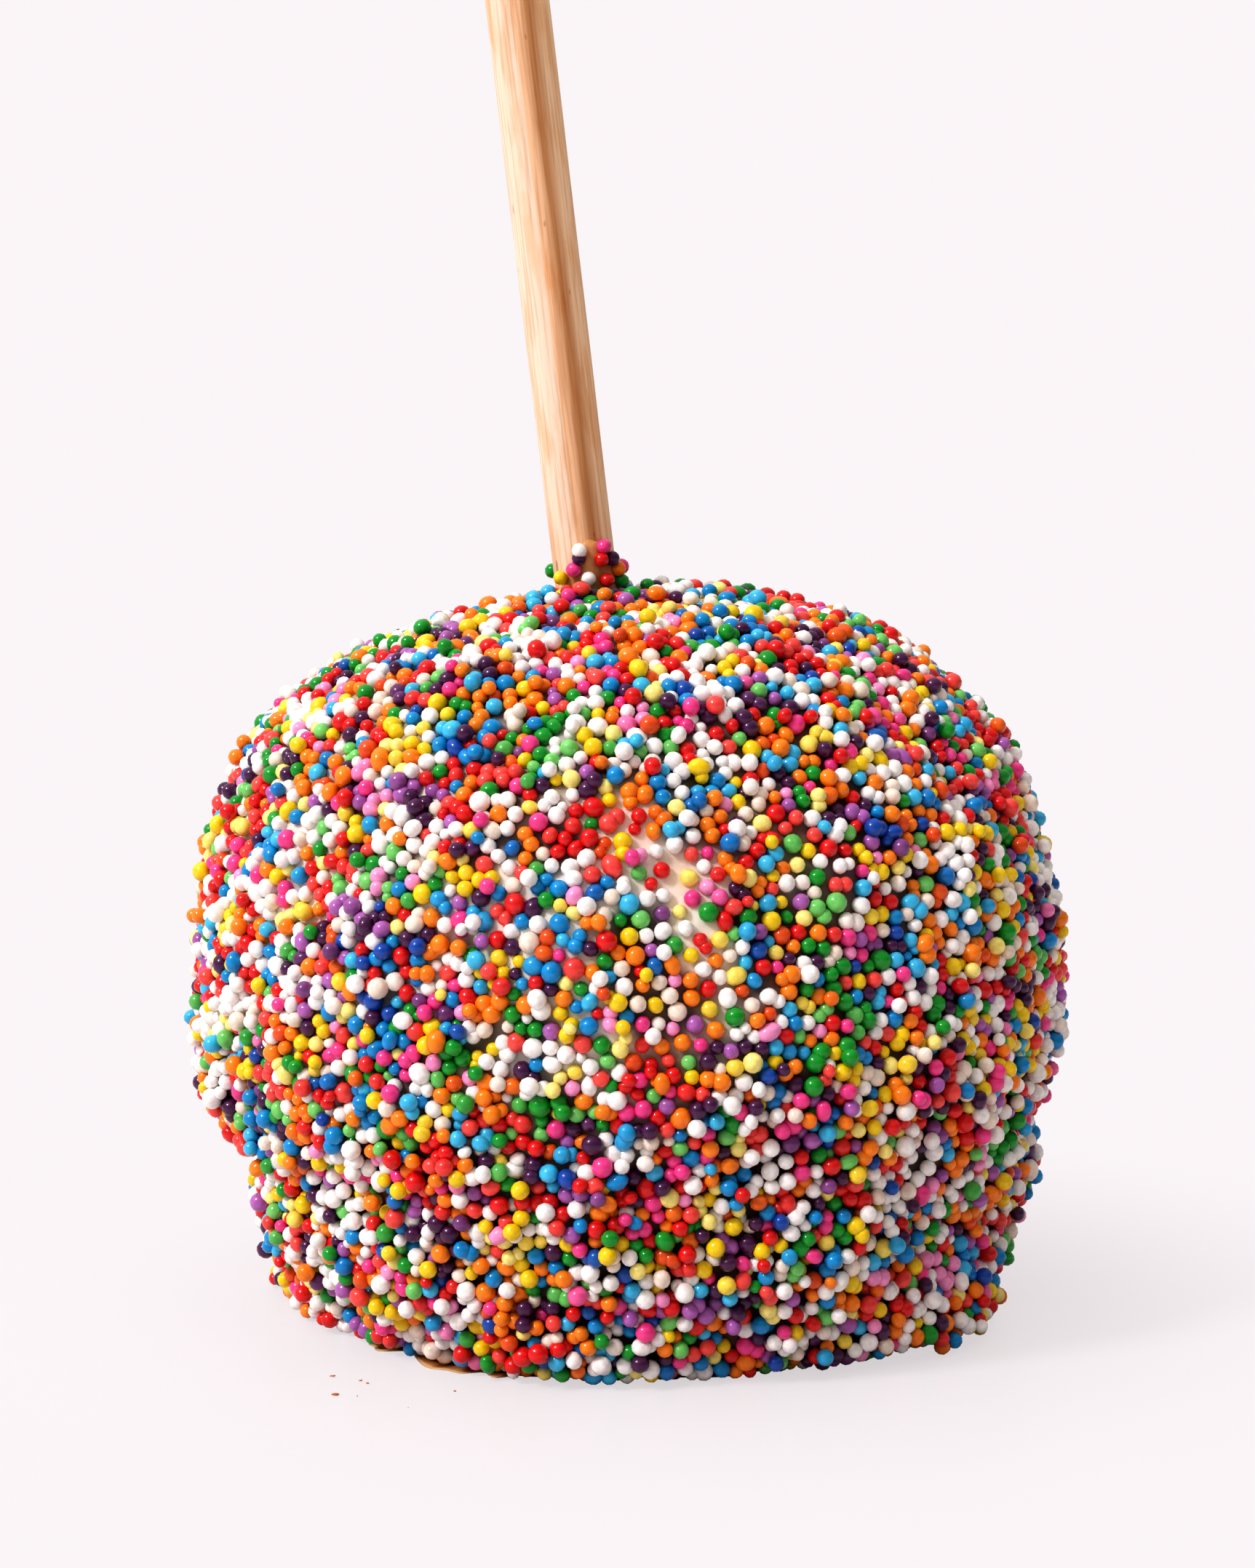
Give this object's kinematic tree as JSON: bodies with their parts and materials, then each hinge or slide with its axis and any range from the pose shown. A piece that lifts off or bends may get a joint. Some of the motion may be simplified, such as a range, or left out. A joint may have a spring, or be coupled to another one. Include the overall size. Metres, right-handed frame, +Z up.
{
  "type": "coated apple on a stick",
  "caption": "Whole apple dipped in white chocolate, rolled in rainbow nonpareils and held on a leaning wooden stick.",
  "frame": {"origin": "on the table plane, at the middle of the box round the whole, under the flat foot the apple rests on", "axes": "+Z up from the foot to the top of the stick, +X to the right and -Y to the front as pictured; the stick leans towards -X and a little towards -Y"},
  "size_m": [0.0842, 0.0842, 0.1525],
  "materials": {
    "coating": "set white chocolate, satin, under a layer of glossy many-coloured sugar nonpareils",
    "stick": "pale unvarnished birch dowel with darker grain streaks"
  },
  "bodies": {
    "root": {"coated_apple": "coating", "stick": "stick"}
  },
  "joints": []
}
